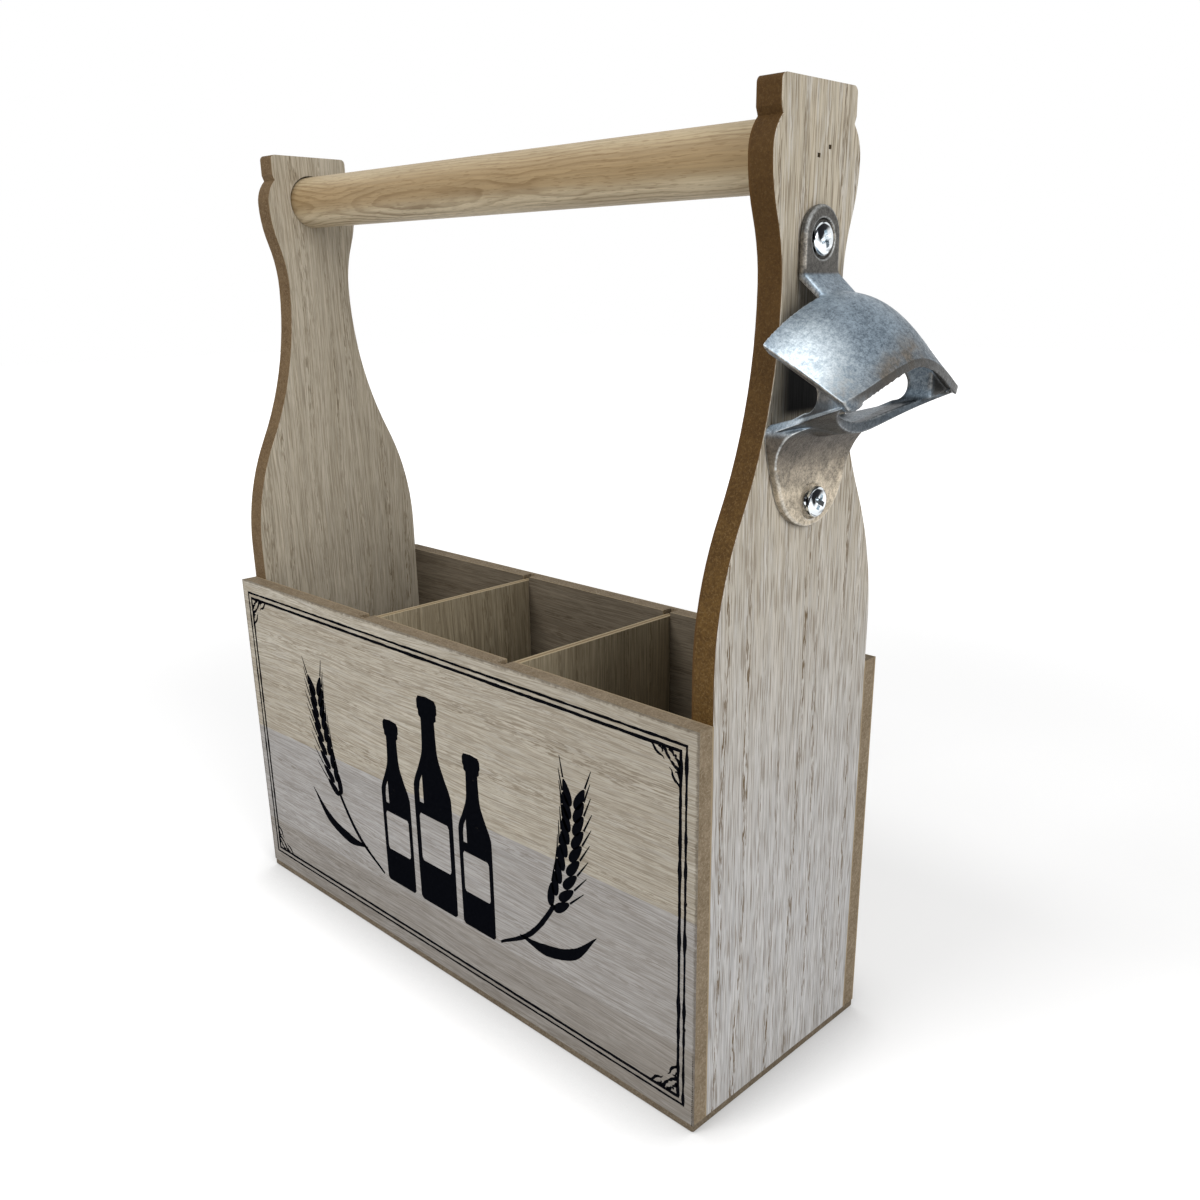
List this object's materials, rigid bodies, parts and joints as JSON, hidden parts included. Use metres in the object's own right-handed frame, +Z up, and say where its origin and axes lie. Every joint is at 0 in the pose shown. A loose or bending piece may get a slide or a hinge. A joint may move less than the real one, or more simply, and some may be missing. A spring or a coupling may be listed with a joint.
{
  "type": "bottle caddy",
  "caption": "Wooden bottle caddy with bottle-shaped ends, lift-out cell dividers, a dowel handle and a cast opener on one end.",
  "frame": {"origin": "middle of the underside of the base, on the surface that the caddy stands on", "axes": "X runs along the handle towards the end that carries the opener, the decorated front faces -Y, +Z is up"},
  "size_m": [0.288, 0.091, 0.3038],
  "materials": {
    "board_core": "matt sawn fibreboard edge",
    "veneer": "matt whitewashed open grain",
    "plywood": "matt thin plywood",
    "dowel_wood": "smooth clear satin",
    "cast_zinc": "antiqued cast metal with brown patina",
    "chrome_screws": "bright plated",
    "brad_steel": "plain wire"
  },
  "bodies": {
    "caddy": {"back_panel_brads": "brad_steel", "back_panel_core": "board_core", "back_panel_inner_veneer": "veneer", "back_panel_outer_veneer": "veneer", "base_brads": "brad_steel", "base_panel": "board_core", "bottle_opener": "cast_zinc", "front_panel_brads": "brad_steel", "front_panel_core": "board_core", "front_panel_inner_veneer": "veneer", "front_panel_outer_veneer": "veneer", "handle_dowel": "dowel_wood", "left_end_core": "board_core", "left_end_inner_veneer": "veneer", "left_end_outer_veneer": "veneer", "left_handle_brads": "brad_steel", "lower_opener_screw": "chrome_screws", "right_end_core": "board_core", "right_end_inner_veneer": "veneer", "right_end_outer_veneer": "veneer", "right_handle_brads": "brad_steel", "upper_opener_screw": "chrome_screws"},
    "left_divider": {"left_divider": "plywood"},
    "right_divider": {"right_divider": "plywood"}
  },
  "joints": [
    {"name": "left_divider_lift", "type": "slide", "parent": "caddy", "child": "left_divider", "axis": [0, 0, 1], "range_m": [0, 0.137]},
    {"name": "right_divider_lift", "type": "slide", "parent": "caddy", "child": "right_divider", "axis": [0, 0, 1], "range_m": [0, 0.137]}
  ]
}
